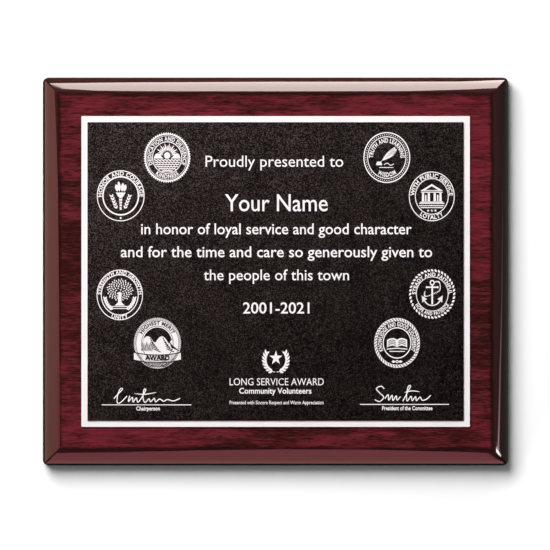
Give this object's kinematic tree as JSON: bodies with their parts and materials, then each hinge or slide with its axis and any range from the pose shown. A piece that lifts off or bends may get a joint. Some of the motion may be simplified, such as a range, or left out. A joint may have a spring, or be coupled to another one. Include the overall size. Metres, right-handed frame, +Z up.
{
  "type": "wall plaque",
  "caption": "Wooden award plaque with rounded edges, a bright bordered plate with a black engraved panel, a felt back and keyhole hangers for landscape or portrait hanging.",
  "frame": {"origin": "centre of the felt's back face, in the plane of the wall", "axes": "+X to the viewer's right across the width, +Y into the wall, +Z up, with the plate facing -Y"},
  "size_m": [0.3048, 0.0213, 0.254],
  "materials": {
    "fibreboard": "raw medium-density fibreboard, dyed dark",
    "rosewood": "dark red rosewood grain under a clear high-gloss lacquer",
    "felt": "black adhesive-backed felt",
    "satin_silver": "bright silver, finely brushed",
    "black_coat": "black coating with a fine sandy texture, engraved through to silver",
    "adhesive": "white double-sided adhesive tape",
    "zinc": "zinc-plated steel"
  },
  "bodies": {
    "root": {"core_board": "fibreboard", "rosewood_veneer": "rosewood", "back_felt": "felt", "backing_plate": "satin_silver", "engraved_plate": "black_coat", "foam_tape_1": "adhesive", "foam_tape_2": "adhesive", "foam_tape_3": "adhesive", "foam_tape_4": "adhesive", "film_tape_1": "adhesive", "film_tape_2": "adhesive", "landscape_hanger": "zinc", "landscape_hanger_screw_1": "zinc", "landscape_hanger_screw_2": "zinc", "portrait_hanger": "zinc", "portrait_hanger_screw_1": "zinc", "portrait_hanger_screw_2": "zinc"}
  },
  "joints": []
}
